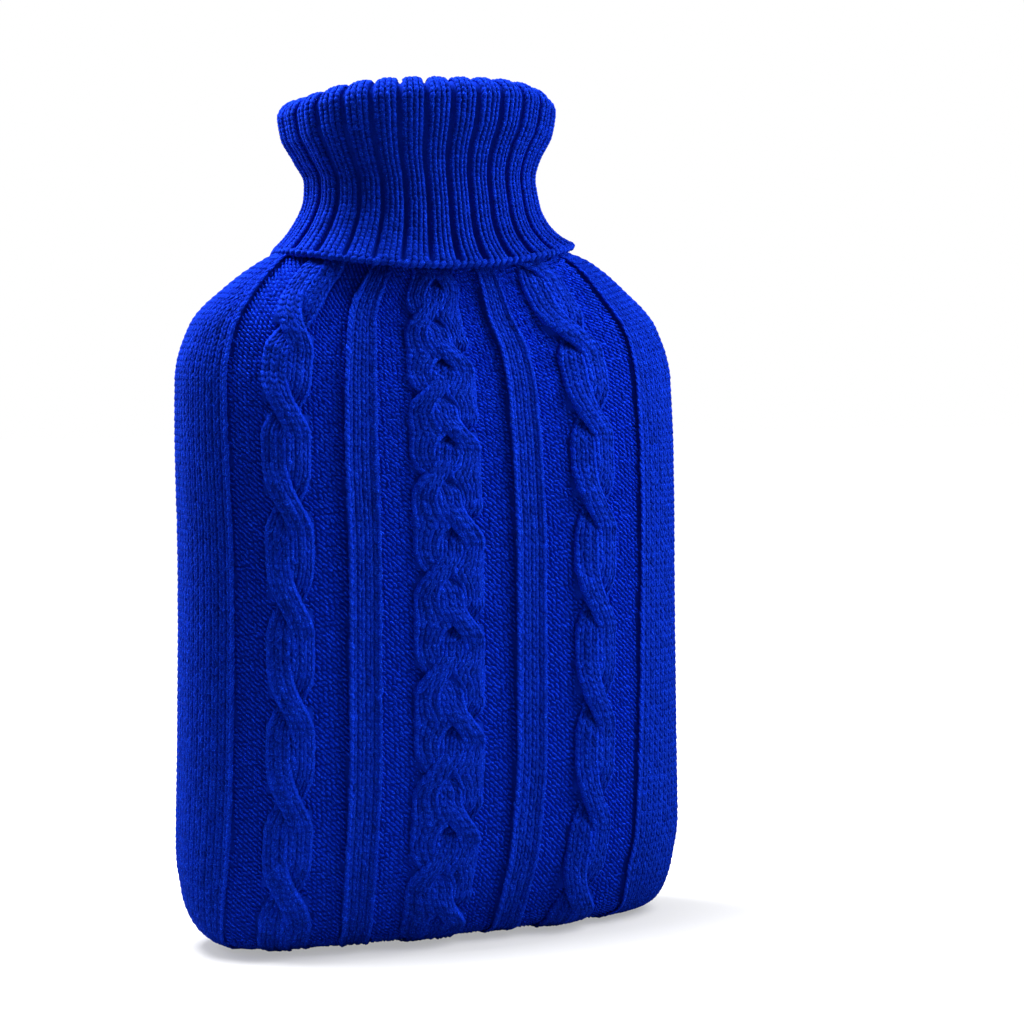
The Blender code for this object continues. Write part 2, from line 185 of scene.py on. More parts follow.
def body_surface(stitch, row):
    """The smooth filled surface. Stitch 0 is the middle of the front, and rows count from the bottom."""
    stitch, row = np.broadcast_arrays(np.asarray(stitch, float), np.asarray(row, float))
    slant = np.interp(row, level_rows, levels[:, SLANT])
    level = row - slant * np.sin(2 * math.pi * stitch / ROUND) / SLANT_AT_ROPE / 2
    shares = [np.interp(level, level_rows, column) for column in levels[:, SHARES].T]
    share, turn, middle_share, middle_turn = shares
    side = np.mod(stitch + CHART_EDGE, ROUND)
    half_turns = np.floor(side / HALF_ROUND)
    from_middle = side - half_turns * HALF_ROUND - CHART_EDGE
    edge = HALF_ROUND * share / 2
    middle_edge = HALF_ROUND * middle_share * MIDDLE_EDGE / CHART_STITCHES
    ends = (-CHART_EDGE, turn - edge), (-MIDDLE_EDGE, middle_turn - middle_edge), \
        (MIDDLE_EDGE, middle_turn + middle_edge), (CHART_EDGE, turn + edge), \
        (HALF_ROUND - CHART_EDGE, HALF_ROUND + turn - edge)
    lie = 0.0
    for (start, low), (end, high) in zip(ends, ends[1:]):
        here = (from_middle >= start) & (from_middle < end)
        lie = np.where(here, low + (from_middle - start) / (end - start) * (high - low), lie)
    place = (half_turns * HALF_ROUND + lie) / ROUND
    return read_rings(body_rings, (level + BASE_ROWS) / LEVEL_STEP, place)


def lay_out(surface, stitch, row, facing=1):
    """Point, course direction, wale direction and outward normal of a surface at stitches and rows.

    Facing is -1 for cloth that shows its other side.
    """
    step = 0.2
    along = (surface(stitch + step, row) - surface(stitch - step, row)) / (2 * step)
    up = (surface(stitch, row + step) - surface(stitch, row - step)) / (2 * step)
    normal = facing * np.cross(along, up)
    return surface(stitch, row), along, up, normal / np.linalg.norm(normal, axis=-1, keepdims=True)


middle = lay_out(body_surface, np.array([0.0]), np.array([60.0]))
stitch_width, row_height = np.linalg.norm(middle[1]), np.linalg.norm(middle[2])
print("a stitch is", round(stitch_width / MM, 2), "by", round(row_height / MM, 2), "mm")

# %% [markdown]
# ## Cables
#
# A cable's strands lie side by side and then cross. On the way the upper one rises and the lower one
# dives behind it, which leaves a small dark hollow at each crossing. Where the strands lie side by
# side, the cable is one broad leaf with a domed top.

# %% Shape the cables
PURL_LEVEL = -1.4 * MM  # the levels are heights over the smooth surface
RIB_LEVEL = 0.3 * MM
PANEL_LEVEL = -0.5 * MM
STRAND_LEVEL = 2.2 * MM
CROSS_LIFT = {1: 1.6 * MM, -1: 0.7 * MM}  # 1 where the upper strand comes up from the right
CROSS_DIVE = {1: 3.3 * MM, -1: 1.5 * MM}
DIVE_POWER = 2.5  # how late and suddenly the lower strand dives
STRAND_HALF = 1.9  # stitches, to where a strand has fallen away to the ground
LEAF_MARGIN = 0.35  # stitches past a cable's edge to where its leaf has
DOME_POWER = 3  # how flat strands, leaves and ribs are on top
EDGE_ROLL = 0.8 * MM  # a plain column next to purl rolls up
PANEL_ROLL = 2  # stitches at a panel's edge that do
SPREAD = 0.04  # how much wider than it is a strand shows where it slants
RELIEF_ROWS = 11.0  # from the bottom edge to where the relief is full
NECK_ROWS = 8.0  # over which it goes again, under the collar
LOWEST = 1.4 * MM  # of the yarn's middle, over the floor
BRIDGE = 1.6 * MM  # from a strand's crown to the cloth that carries it over a crossing
BRIDGE_HALF = 0.6  # stitches that this cloth reaches to each side


def rows_from(row, cross_row):
    """Rows up from the nearest crossing, less than zero below it."""
    return np.mod(row - cross_row + REPEAT / 2, REPEAT) - REPEAT / 2


def crossing(row, cross_row, reach):
    """How far a crossing has gone, -1 below it to 1 above it, and how near its middle the row is.

    Strands draw together slowly from above and part quickly below, so a leaf is blunt at its top.
    """
    below, above = reach
    bend = (above - below) / (above * below * (above + below))
    away = np.clip(rows_from(row, cross_row), -below, above)
    turned = away * ((1 + bend * above * above) / above - bend * away) * math.pi / 2
    return np.sin(turned), np.maximum(np.cos(turned), 0)


CableStrand = namedtuple("CableStrand", "cross_row reach middle hand upper")


def strand(row, cross_row, reach, middle, hand, upper):
    """Middle, crown level and nearness to the crossing of one of two strands that change places."""
    swing, near = crossing(row, cross_row, reach)
    apart = hand * COLUMNS_HALF * swing
    if upper:
        return middle - apart, STRAND_LEVEL + CROSS_LIFT[hand] * near, near
    return middle + apart, STRAND_LEVEL - CROSS_DIVE[hand] * near ** DIVE_POWER, near


def strand_height(offset, from_strand, level, near, cable_half):
    """Height over the smooth surface on one strand, offset being measured from the cable's middle."""
    leaf = 1 - np.clip(abs(offset) / (cable_half + LEAF_MARGIN), 0, 1) ** DOME_POWER
    crown = 1 - np.clip(abs(from_strand) / STRAND_HALF, 0, 1) ** DOME_POWER
    return PURL_LEVEL + (level - PURL_LEVEL) * ((1 - near) * leaf + near * crown)


def relief_share(row):
    """Share of the relief left at a row: it dies away to the flat bottom and under the collar."""
    return np.clip(np.minimum(row / RELIEF_ROWS, (ROWS - row) / NECK_ROWS), 0, 1)


ROPE_STRANDS = [CableStrand(ROPE_ROW, ROPE_CROSSING, 0.0, 1, upper) for upper in (True, False)]
PLAIT_PAIRS = {
    hand: [CableStrand(cross_row, PLAIT_CROSSING, hand * COLUMNS_HALF, hand, upper)
           for upper in (True, False)]
    for hand, cross_row in ((1, PLAIT_RIGHT_ROW), (-1, PLAIT_RIGHT_ROW + REPEAT / 2))
}
swings, _ = crossing(ROPE_ROW + np.arange(-3, 7), ROPE_ROW, ROPE_CROSSING)
print("a rope's strand moves", swings.round(2).tolist())

# %% [markdown]
# The cloth beneath the stitches follows the same relief: purl low, panels and ribs higher, cables
# highest. Where two strands cross, it follows the lower one, so that the hollow stays open, and rises
# only under the middle of the upper one.

# %% Raise the chart
LIFTED = 1.0  # higher than any strand


def edge_beside(row, crossing_strand):
    """How far a plait's crossing keeps from its resting strand, from the middle to that strand's side."""
    middle, _, near = strand(row, *crossing_strand)
    swing = abs(middle - crossing_strand.middle)
    return swing + COLUMNS_HALF * (SPREAD * near)


def right_crosses(row):
    """Whether the plait crosses in its right half at a row, or in its left."""
    return abs(rows_from(row, PLAIT_RIGHT_ROW)) < REPEAT / 4


def cable_relief(offset, row, strands, cable_half):
    """The lower of two strands at a place, and beside them the strand of a plait that rests meanwhile."""
    height = np.full(np.shape(offset), LIFTED)
    if cable_half > ROPE_HALF:
        resting = -strands[0].hand * offset > edge_beside(row, strands[0])
        height = np.where(resting, strand_height(offset, 0, STRAND_LEVEL, 0, cable_half), height)
    for cable_strand in strands:
        middle, level, near = strand(row, *cable_strand)
        from_strand = offset - middle
        own = strand_height(offset, from_strand, level, near, cable_half)
        height = np.where(abs(from_strand) < COLUMNS_HALF, np.minimum(height, own), height)
    height = np.where(height == LIFTED, PURL_LEVEL, height)
    middle, level, near = strand(row, *strands[0])
    return np.where(abs(offset - middle) < BRIDGE_HALF, np.maximum(height, level - BRIDGE), height)


def rolled_edges(from_middle, half):
    return RIB_LEVEL + EDGE_ROLL * np.clip(abs(from_middle) / half, 0, 1) ** DOME_POWER


def relief(stitch, row):
    """How far the cloth stands out at a stitch and row."""
    stitch, row = np.broadcast_arrays(np.asarray(stitch, float), np.asarray(row, float))
    from_front = np.mod(stitch + CHART_EDGE, HALF_ROUND) - CHART_EDGE
    away = abs(from_front)
    height = np.full(stitch.shape, PURL_LEVEL)
    rib_middle, rib_half = sum(RIB_EDGES) / 2, (RIB_EDGES[1] - RIB_EDGES[0]) / 2
    from_rope = (away - ROPE_MIDDLE) * np.sign(from_front)
    in_rib = abs(away - rib_middle) < rib_half
    height = np.where(in_rib, rolled_edges(away - rib_middle, rib_half), height)
    rope = cable_relief(from_rope, row, ROPE_STRANDS, ROPE_HALF)
    height = np.where(abs(from_rope) < ROPE_HALF, rope, height)
    plait = np.where(right_crosses(row), cable_relief(from_front, row, PLAIT_PAIRS[1], PLAIT_HALF),
                     cable_relief(from_front, row, PLAIT_PAIRS[-1], PLAIT_HALF))
    height = np.where(away < PLAIT_HALF, plait, height)
    panel_half = PANEL_STITCHES / 2
    from_panel = from_front - CHART_EDGE - panel_half
    edge = EDGE_ROLL * np.clip((abs(from_panel) - panel_half + PANEL_ROLL) / PANEL_ROLL, 0, 1) ** 2
    height = np.where(from_front > CHART_EDGE, PANEL_LEVEL + edge, height)
    return height * relief_share(row)


def off_body(stitch, row, height):
    """The smooth surface moved out along its normal."""
    point, _, _, normal = lay_out(body_surface, stitch, row)
    return point + normal * height[..., None]


def raised(stitch, row, height):
    """The same, but never so low that the yarn would go into the floor."""
    point = off_body(stitch, row, height)
    point[..., 2] = np.maximum(point[..., 2], LOWEST)
    return point


sample = relief(np.linspace(-26, 26, 200)[None, :], np.linspace(30, 60, 100)[:, None])
print("the relief runs from", round(sample.min() / MM, 1), "to", round(sample.max() / MM, 1), "mm")

# %% [markdown]
# ## The yarn
#
# Double knitting wool is two or more plies twisted together, dyed one royal blue with a few paler
# hairs in it. Every piece of yarn in the model is a short plump lobe, so the plies can be worked out in
# the material from where a point lies on its own lobe, as bumps and as a painted highlight on each
# ply's crown. The node group puts out a colour and a height, and both materials that use it set their
# own dye.

# %% Spin the wool
PLIES = 2.0
PLY_PAINTED_SHADE = 0.15  # painted highlight: how much lighter a ply is on its crown, and darker between plies
PLY_HEIGHT = 0.35  # of the plies, against the fibres' height of 1
FIBRE_SCALE = 2600.0  # of the noise, per metre
CLOUD_SCALE = 420.0
CLOUD_SHARE, CLOUD_LEAST = 0.4, 0.8  # how unevenly the dye took, and its least share
HAIR_FROM, HAIR_TO = 0.53, 0.68  # of the fibre noise, where pale hairs show
BUMP = 0.16 * MM


def add_node(tree, kind, settings=(), **inputs):
    """Adds a node, sets its properties, and sets or links its inputs by name."""
    node = tree.nodes.new(kind)
    for name, value in dict(settings).items():
        setattr(node, name, value)
    for name, value in inputs.items():
        key = int(name[1:]) if name[0] == "i" and name[1:].isdigit() else name.replace("_", " ")
        if isinstance(value, bpy.types.NodeSocket):
            tree.links.new(value, node.inputs[key])
        else:
            node.inputs[key].default_value = value
    return node


def math_node(tree, operation, *values):
    return add_node(tree, "ShaderNodeMath", {"operation": operation},
                    **{f"i{i}": value for i, value in enumerate(values)}).outputs[0]


def add_socket(tree, name, kind, direction, value=None):
    socket = tree.interface.new_socket(name, in_out=direction, socket_type=kind)
    if value is not None:
        socket.default_value = value


def build_wool_group():
    tree = bpy.data.node_groups.new("spun_wool", "ShaderNodeTree")
    add_socket(tree, "Dye", "NodeSocketColor", "INPUT")
    add_socket(tree, "Hair", "NodeSocketColor", "INPUT")
    add_socket(tree, "Ply turns", "NodeSocketFloat", "INPUT", 4.0)
    add_socket(tree, "Unevenness", "NodeSocketFloat", "INPUT", 0.15)
    add_socket(tree, "Colour", "NodeSocketColor", "OUTPUT")
    add_socket(tree, "Height", "NodeSocketFloat", "OUTPUT")
    given = tree.nodes.new("NodeGroupInput").outputs
    out = tree.nodes.new("NodeGroupOutput")
    on_lobe = add_node(tree, "ShaderNodeAttribute", {"attribute_name": "on_lobe"})
    place = add_node(tree, "ShaderNodeSeparateXYZ", i0=on_lobe.outputs["Vector"]).outputs
    angle = math_node(tree, "ARCTAN2", place["Y"], place["X"])
    lengthways = math_node(tree, "MULTIPLY", place["Z"], given["Ply turns"])
    ply = math_node(tree, "SINE", math_node(tree, "MULTIPLY_ADD", angle, PLIES, lengthways))
    spot = add_node(tree, "ShaderNodeTexCoord").outputs["Object"]
    fibre = add_node(tree, "ShaderNodeTexNoise", Vector=spot, Scale=FIBRE_SCALE, Detail=3.0).outputs[0]
    cloud = add_node(tree, "ShaderNodeTexNoise", Vector=spot, Scale=CLOUD_SCALE, Detail=2.0).outputs[0]
    # each lobe's random tone together with its painted lightening and painted highlight
    tone_and_painted_light = add_node(tree, "ShaderNodeAttribute", {"attribute_name": "tone_and_painted_light"}).outputs["Fac"]
    uneven_and_painted_light = math_node(tree, "MULTIPLY", tone_and_painted_light, given["Unevenness"])
    # painted highlight on each ply's crown and painted darkening between plies, with the lobe's tone
    light = math_node(tree, "MULTIPLY_ADD", ply, PLY_PAINTED_SHADE, math_node(tree, "ADD", uneven_and_painted_light, 1.0))
    took = math_node(tree, "MULTIPLY_ADD", cloud, CLOUD_SHARE, CLOUD_LEAST)
    light = math_node(tree, "MULTIPLY", light, took)
    hair = add_node(tree, "ShaderNodeMapRange", i0=fibre, i1=HAIR_FROM, i2=HAIR_TO).outputs[0]
    coloured = add_node(tree, "ShaderNodeMix", {"data_type": "RGBA"}, i0=hair,
                        i6=given["Dye"], i7=given["Hair"]).outputs[2]
    scaled = add_node(tree, "ShaderNodeVectorMath", {"operation": "SCALE"}, i0=coloured, Scale=light)
    tree.links.new(scaled.outputs[0], out.inputs["Colour"])
    height = math_node(tree, "MULTIPLY_ADD", ply, PLY_HEIGHT, fibre)
    tree.links.new(height, out.inputs["Height"])
    return tree


def new_material(name, **values):
    """A material, its tree and its shader, with the shader's inputs set by name."""
    material = bpy.data.materials.new(name)
    material.use_nodes = True
    shader = material.node_tree.nodes["Principled BSDF"]
    for key, value in values.items():
        shader.inputs[key.replace("_", " ")].default_value = value
    return material, material.node_tree, shader


def wool(name, dye, hair, **values):
    """A wool material: the group's colour and height in a soft shader with a little sheen."""
    material, tree, shader = new_material(name, Roughness=0.9, Specular_IOR_Level=0.02, Sheen_Weight=0.15,
                                          Sheen_Roughness=0.5, Sheen_Tint=(0.0, 0.10, 1.0, 1.0))
    spun = add_node(tree, "ShaderNodeGroup", {"node_tree": spun_wool}, Dye=dye, Hair=hair, **values)
    ridges = add_node(tree, "ShaderNodeBump", Height=spun.outputs["Height"], Distance=BUMP, Strength=0.7)
    tree.links.new(spun.outputs["Colour"], shader.inputs["Base Color"])
    tree.links.new(ridges.outputs[0], shader.inputs["Normal"])
    return material


spun_wool = build_wool_group()
yarn_wool = wool("royal_blue_yarn", (0.0008, 0.0135, 0.31, 1.0), (0.008, 0.068, 0.82, 1.0),
                 Unevenness=0.13, Ply_turns=4.5)
deep_wool = wool("royal_blue_depth", (0.0011, 0.018, 0.36, 1.0), (0.003, 0.03, 0.5, 1.0))
print("materials:", yarn_wool.name, "and", deep_wool.name)

# %% [markdown]
# ## Stitches by Geometry Nodes
#
# All stitches are the same lobe, placed again and again. A Geometry Nodes tree makes one lobe, bends
# its ends down, and puts a copy on every point that it is given, turned and sized by the point's own
# attributes. The copies are joined into one real mesh.

# %% Build the stitch tree
LOBE_RINGS = 3
LOBE_BEND = -0.5  # of the ends, in half thicknesses


def build_stitch_tree():
    tree = bpy.data.node_groups.new("stitches_on_points", "GeometryNodeTree")
    add_socket(tree, "Geometry", "NodeSocketGeometry", "INPUT")
    add_socket(tree, "Yarn sides", "NodeSocketInt", "INPUT", 5)
    add_socket(tree, "Geometry", "NodeSocketGeometry", "OUTPUT")
    given = tree.nodes.new("NodeGroupInput").outputs
    out = tree.nodes.new("NodeGroupOutput")
    lobe = add_node(tree, "GeometryNodeMeshUVSphere", Segments=given["Yarn sides"], Rings=LOBE_RINGS,
                    Radius=1.0).outputs["Mesh"]
    place = tree.nodes.new("GeometryNodeInputPosition").outputs[0]
    marked = add_node(tree, "GeometryNodeStoreNamedAttribute",
                      {"data_type": "FLOAT_VECTOR", "domain": "POINT"},
                      Geometry=lobe, Name="on_lobe", Value=place).outputs[0]
    ends = math_node(tree, "POWER", add_node(tree, "ShaderNodeSeparateXYZ", i0=place).outputs["Z"], 2.0)
    sink = math_node(tree, "MULTIPLY", ends, LOBE_BEND)
    offset = add_node(tree, "ShaderNodeCombineXYZ", Y=sink).outputs[0]
    bent = add_node(tree, "GeometryNodeSetPosition", Geometry=marked, Offset=offset).outputs[0]
    smooth = add_node(tree, "GeometryNodeSetShadeSmooth", Geometry=bent).outputs[0]
    read = {"data_type": "FLOAT_VECTOR"}
    turn = add_node(tree, "GeometryNodeInputNamedAttribute", read, Name="turn").outputs[0]
    size = add_node(tree, "GeometryNodeInputNamedAttribute", read, Name="size").outputs[0]
    copies = add_node(tree, "GeometryNodeInstanceOnPoints", Points=given["Geometry"], Instance=smooth,
                      Rotation=turn, Scale=size).outputs[0]
    real = add_node(tree, "GeometryNodeRealizeInstances", Geometry=copies).outputs[0]
    dyed = add_node(tree, "GeometryNodeSetMaterial", Geometry=real, Material=yarn_wool).outputs[0]
    tree.links.new(dyed, out.inputs[0])
    return tree


def put_in_scene(name, data):
    item = bpy.data.objects.new(name, data)
    scene.collection.objects.link(item)
    return item


def run_tree(name, mesh, sides):
    """Runs the tree once on a mesh, and gives its result as a plain mesh object."""
    holder = put_in_scene(name + "_points", mesh)
    nodes = holder.modifiers.new("tree", "NODES")
    nodes.node_group = stitch_tree
    nodes[stitch_tree.interface.items_tree["Yarn sides"].identifier] = sides
    depsgraph = bpy.context.evaluated_depsgraph_get()
    result = bpy.data.meshes.new_from_object(holder.evaluated_get(depsgraph),
                                             preserve_all_data_layers=True, depsgraph=depsgraph)
    bpy.data.objects.remove(holder)
    result.name = name
    return put_in_scene(name, result)


stitch_tree = build_stitch_tree()
print("the tree has", len(stitch_tree.nodes), "nodes")

# %% [markdown]
# A lobe is placed by a point, two directions and a size. `Basket` collects them, as a knitter drops
# finished pieces in a basket, and then turns them into one mesh. A lobe's length lies along its own Z
# and it bulges along its own Y, so the two directions give its turn as Euler angles.

# %% Collect the lobes
SEED = 11
STRAY = 0.13  # how far a lobe's direction strays, as a share of its length
SIZE_SPREAD = 0.08
chance = np.random.default_rng(SEED)
knitted = []


def euler_of(outwards, lengthways):
    """Euler angles that turn Z to a direction and Y as near as can be to another."""
    z = lengthways / np.linalg.norm(lengthways, axis=-1, keepdims=True)
    x = np.cross(outwards, z)
    x /= np.linalg.norm(x, axis=-1, keepdims=True)
    y = np.cross(z, x)
    return np.stack([np.arctan2(y[:, 2], z[:, 2]), -np.arcsin(np.clip(x[:, 2], -1, 1)),
                     np.arctan2(x[:, 1], x[:, 0])], axis=1)


class Basket:
    """The lobes of one piece, of yarn with so many sides, painted lighter than other yarn by its painted
    lightening.
    """

    def __init__(self, name, sides=5, loft=0.0, stray=STRAY):
        self.name, self.sides, self.loft, self.stray = name, sides, loft, stray
        self.points, self.turns, self.sizes, self.shades = [], [], [], []

    def add(self, points, outwards, lengthways, sizes, painted_highlight=0.0):
        """Lobes with their middles at points. Sizes are half the width, thickness and length."""
        swing = chance.normal(0.0, self.stray, (len(sizes), 1)) * np.cross(outwards, lengthways)
        self.points.append(points)
        self.turns.append(euler_of(outwards, lengthways + swing))
        self.sizes.append(sizes * chance.normal(1.0, SIZE_SPREAD, (len(sizes), 1)))
        # a lobe's tone: random, plus the basket's painted lightening and any painted highlight
        self.shades.append(chance.normal(self.loft, 1.0, len(sizes)) + painted_highlight)

    def finish(self):
        points = np.concatenate(self.points)
        mesh = bpy.data.meshes.new(self.name + "_points")
        mesh.vertices.add(len(points))
        mesh.vertices.foreach_set("co", points.astype(np.float32).ravel())
        for key, values in (("turn", self.turns), ("size", self.sizes)):
            layer = mesh.attributes.new(key, "FLOAT_VECTOR", "POINT")
            layer.data.foreach_set("vector", np.concatenate(values).astype(np.float32).ravel())
        tone_and_painted_light = mesh.attributes.new("tone_and_painted_light", "FLOAT", "POINT")
        tone_and_painted_light.data.foreach_set("value", np.concatenate(self.shades).astype(np.float32))
        piece = run_tree(self.name, mesh, self.sides)
        knitted.append(piece)
        print(self.name, len(points), "lobes,", len(piece.data.polygons), "faces")


# %% [markdown]
# ## Knit and purl
#
# A knit stitch shows as a V: two legs of yarn that lean outwards as they rise, each with its lower end
# over the stitch below and its upper end under the stitch above. A purl stitch is the same loop seen
# from behind, of which only a short bar shows. Any surface will do that is given as a function of
# stitch and row.

# %% Knit on a surface
YARN_THICK = 0.55 * MM  # half of it, as it shows between its neighbours
LEG_PLACE = 0.235  # stitches from the middle of its stitch to a leg
LEG_LEAN = 0.16  # stitches that a leg leans out for each row
LEG_WIDTH = 0.325  # half a leg's width, in stitches
LEG_DIP = 0.11  # how steeply a leg's upper end goes under
EDGE_REACH = 0.4  # stitches from an edge within which a leg is the outermost
EDGE_RISE = 0.25 * MM  # of the outermost legs beside purl
EDGE_PAINTED_HIGHLIGHT = 2.2  # painted highlight: how much lighter they are
FIRST_ROW = -4  # under the bottle


def lengths(vectors):
    return np.linalg.norm(vectors, axis=-1, keepdims=True)


def lobe_sizes(half_width, half_thick, half_length):
    return np.concatenate([half_width, np.full(half_width.shape, half_thick), half_length], axis=1)


def knit(basket, surface, stitch, row, edges):
    """Puts each knit stitch's two legs in the basket. The outermost ones are raised, and painted lighter
    as a painted highlight.
    """
    for side in (-1, 1):
        place = stitch + side * LEG_PLACE
        point, along, up, normal = lay_out(surface, place, row)
        outermost = np.minimum(abs(place - edges[0]), abs(place - edges[1])) < EDGE_REACH
        leg = up + side * LEG_LEAN * along
        leg = leg / lengths(leg) - LEG_DIP * normal
        sizes = lobe_sizes(LEG_WIDTH * lengths(along), YARN_THICK, lengths(up))
        basket.add(point + EDGE_RISE * outermost[:, None] * normal, normal, leg, sizes,
                   EDGE_PAINTED_HIGHLIGHT * outermost)


def every(stitches, at_rows):
    """All pairs of the stitches and rows, as two flat lists."""
    return [grid.ravel() for grid in np.meshgrid(stitches, at_rows)]


rows = np.arange(FIRST_ROW, HIDDEN_ROW) + 0.5
print(len(rows), "rows of stitches are worked")

# %% [markdown]
# ## Work the body
#
# Each strand of a cable is knitted on its own surface, which carries its three columns sideways through
# a crossing and lifts or sinks them, so that the columns run on unbroken. Front, back and side panels
# are pieces of their own.

# %% Work the cables
FACES = ("front", 0.0), ("back", float(HALF_ROUND))  # each with its middle stitch


def strand_surface(face, cable_middle, cable_strand, cable_half):
    """The surface of one strand, whose columns count from its middle."""
    def surface(column, row):
        middle, level, near = strand(row, *cable_strand)
        across = column * (1 + SPREAD * near)
        offset = middle + across
        height = strand_height(offset, across, level, near, cable_half) * relief_share(row)
        return raised(face + cable_middle + offset, row, height)
    return surface


def resting_surface(face, crossing_strand):
    """The plait's third strand: its columns spread from the plait's edge to the crossing beside it."""
    def surface(column, row):
        inner = -crossing_strand.hand * edge_beside(row, crossing_strand)
        outer = -crossing_strand.hand * PLAIT_HALF
        return body_cloth(face + outer + (inner - outer) * column / ROPE_HALF, row)
    return surface


def work_cables(basket, face):
    columns, edges = (-1.0, 0.0, 1.0), (-COLUMNS_HALF, COLUMNS_HALF)
    for cable_middle in (-ROPE_MIDDLE, ROPE_MIDDLE):
        for cable_strand in ROPE_STRANDS:
            surface = strand_surface(face, cable_middle, cable_strand, ROPE_HALF)
            knit(basket, surface, *every(columns, rows), edges)
    for hand, pair in PLAIT_PAIRS.items():
        active = rows[right_crosses(rows) == (hand == 1)]
        for cable_strand in pair:
            surface = strand_surface(face, 0.0, cable_strand, PLAIT_HALF)
            knit(basket, surface, *every(columns, active), edges)
        knit(basket, resting_surface(face, pair[0]), *every((0.5, 1.5, 2.5), active), (0.0, ROPE_HALF))


def body_cloth(stitch, row):
    return raised(stitch, row, relief(stitch, row))


def work_ribs(basket, face):
    for hand in (-1, 1):
        edges = sorted(face + hand * edge for edge in RIB_EDGES)
        knit(basket, body_cloth, *every(np.arange(*edges) + 0.5, rows), edges)


for face_name, face in FACES:
    basket = Basket(face_name + "_cables_and_ribs", sides=5 if face_name == "front" else 4)
    work_cables(basket, face)
    work_ribs(basket, face)
    basket.finish()

# %% [markdown]
# The ground is purl. Its bars interlock so closely that only short dashes of yarn show, in slanting lines
# that lean down to the right with the yarn's own twist. One lattice of dashes covers the chart, and a
# dash is left out where a rib or a strand lies over it, so the lines run on unbroken beside a cable.

# %% Work the purl ground
DASH_ON = 0.62  # stitches and rows from one dash to the next along its line
DASH_BESIDE = 0.36  # and from one line to the next
DASH_SHIFT = 0.38  # of a step along, by which each line lies farther on than the last
DASH_STRAY = 0.10
DASH_THICK = 0.52 * MM  # half a dash's thickness
DASH_LENGTH = 0.60  # half its length, in steps along the line
DASH_LIFT = 0.12 * MM
# the purl ground's dashes are painted lighter than other yarn: painted light that lifts the ground out of
# its shadow, low between the ribs and cables
GROUND_PAINTED_LIGHT, GROUND_STRAY = 5.8, 0.2
ON_LINE, LINES = (-116, 28), (-46, 196)  # enough to cover the chart
SIDE_MARGIN, ROW_MARGIN = 0.1, 0.4  # to the panels, and past the outermost rows


def under_strand(offset, row, strands):
    covered = np.zeros(np.shape(offset), bool)
    for cable_strand in strands:
        middle, _, near = strand(row, *cable_strand)
        covered |= abs(offset - middle) < COLUMNS_HALF * (1 + SPREAD * near)
    return covered


def on_ground(stitch, row):
    """Which places of the chart, counted from its middle, no rib and no strand covers."""
    away = abs(stitch)
    covered = (away > RIB_EDGES[0]) & (away < RIB_EDGES[1])
    covered |= under_strand((away - ROPE_MIDDLE) * np.sign(stitch), row, ROPE_STRANDS)
    for hand, pair in PLAIT_PAIRS.items():
        resting = (-hand * stitch > edge_beside(row, pair[0])) & (away < PLAIT_HALF)
        covered |= (under_strand(stitch, row, pair) | resting) & (right_crosses(row) == (hand == 1))
    return ~covered & (away < CHART_EDGE - SIDE_MARGIN)


on, beside = np.meshgrid(np.arange(*ON_LINE), np.arange(*LINES))
on = on + np.mod(beside * DASH_SHIFT, 1.0) + chance.normal(0.0, DASH_STRAY, on.shape)
stitch = DASH_ON * on + DASH_BESIDE * beside
row = -DASH_ON * on + DASH_BESIDE * beside
dashes = on_ground(stitch, row) & (row > rows[0] - ROW_MARGIN) & (row < rows[-1] + ROW_MARGIN)
stitch, row = stitch[dashes], row[dashes]
for face_name, face in FACES:
    basket = Basket(face_name + "_purl_ground", sides=4, loft=GROUND_PAINTED_LIGHT, stray=GROUND_STRAY)
    _, along, up, normal = lay_out(body_surface, face + stitch, row)
    point = body_cloth(face + stitch, row) + normal * DASH_LIFT
    dash = along - up
    sizes = np.full((len(point), 3), DASH_THICK)
    sizes[:, 2:] = DASH_ON * DASH_LENGTH * lengths(dash)
    basket.add(point, normal, dash, sizes)
    basket.finish()

# %% [markdown]
# The side panels are plain stocking stitch, and take the turn from the front to the back, where the
# bottle's edge is sharpest.

# %% Work the side panels
for panel_name, start in (("right", CHART_EDGE), ("left", CHART_EDGE + HALF_ROUND)):
    basket = Basket(panel_name + "_panel")
    edges = start, start + PANEL_STITCHES
    knit(basket, body_cloth, *every(np.arange(*edges) + 0.5, rows), edges)
    basket.finish()

# %% [markdown]
# ## The collar
#
# The collar goes up from the neck, turns over and comes down outside to a loose hem that flares over
# the shoulders. It is worked in two by two rib, which pulls together like a bellows: the knit columns
# stand out in pairs and the purl columns sink between them. Its tables give the middle of the cloth,
# level by level: the height in the middle and at the sides, half the width and depth, how late the
# height changes on the way to the sides, how much the right side is higher, and how far the level
# stands off middle.

